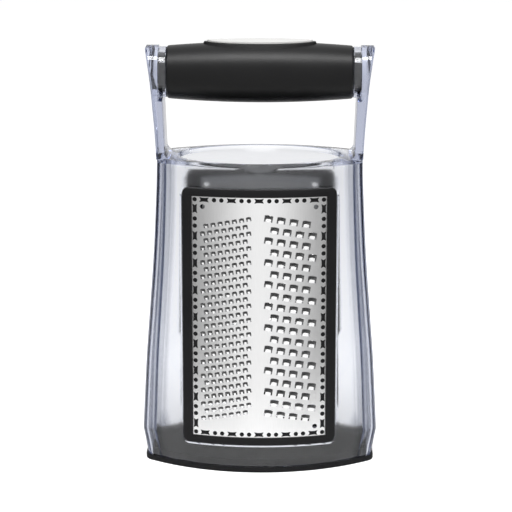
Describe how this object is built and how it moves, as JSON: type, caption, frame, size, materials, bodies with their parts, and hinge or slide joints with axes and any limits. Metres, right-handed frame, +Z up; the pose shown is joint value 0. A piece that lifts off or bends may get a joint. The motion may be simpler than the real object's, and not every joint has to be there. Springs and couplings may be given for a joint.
{
  "type": "box grater",
  "caption": "Box grater with a clear body, barrel handle, tray base and curved toothed blades in lift-out frames.",
  "frame": {"origin": "on the table, under the middle of the body", "axes": "+Z up, +Y from the front blade to the rear blade, +X along the grip to the right as seen from the front"},
  "size_m": [0.1472, 0.0904, 0.2617],
  "materials": {
    "clear_plastic": "clear, lightly violet at its edges",
    "blade_steel": "satin etched sheet",
    "cartridge_plastic": "fine satin, black",
    "grip_rubber": "soft matt black",
    "inlay_white": "satin white, left blank",
    "core_plastic": "satin black",
    "tray_plastic": "satin dark grey",
    "foot_rubber": "matt black"
  },
  "bodies": {
    "base": {"base_tray": "tray_plastic", "foot_ring": "foot_rubber"},
    "body": {"side_frame_left": "clear_plastic", "side_frame_right": "clear_plastic", "front_wall": "clear_plastic", "rear_wall": "clear_plastic", "handle_core": "core_plastic", "handle_grip": "grip_rubber", "handle_inlay": "inlay_white", "collar_left": "core_plastic", "collar_right": "core_plastic"},
    "front_cartridge": {"front_frame": "cartridge_plastic", "front_blade": "blade_steel"},
    "rear_cartridge": {"rear_frame": "cartridge_plastic", "rear_blade": "blade_steel"}
  },
  "joints": [
    {"name": "body_lift", "type": "slide", "parent": "base", "child": "body", "axis": [0, 0, 1], "range_m": [0, 0.04]},
    {"name": "front_cartridge_slide", "type": "slide", "parent": "body", "child": "front_cartridge", "axis": [0, 0.0548, 0.9985], "range_m": [0, 0.165]},
    {"name": "rear_cartridge_slide", "type": "slide", "parent": "body", "child": "rear_cartridge", "axis": [0, -0.0548, 0.9985], "range_m": [0, 0.165]}
  ]
}
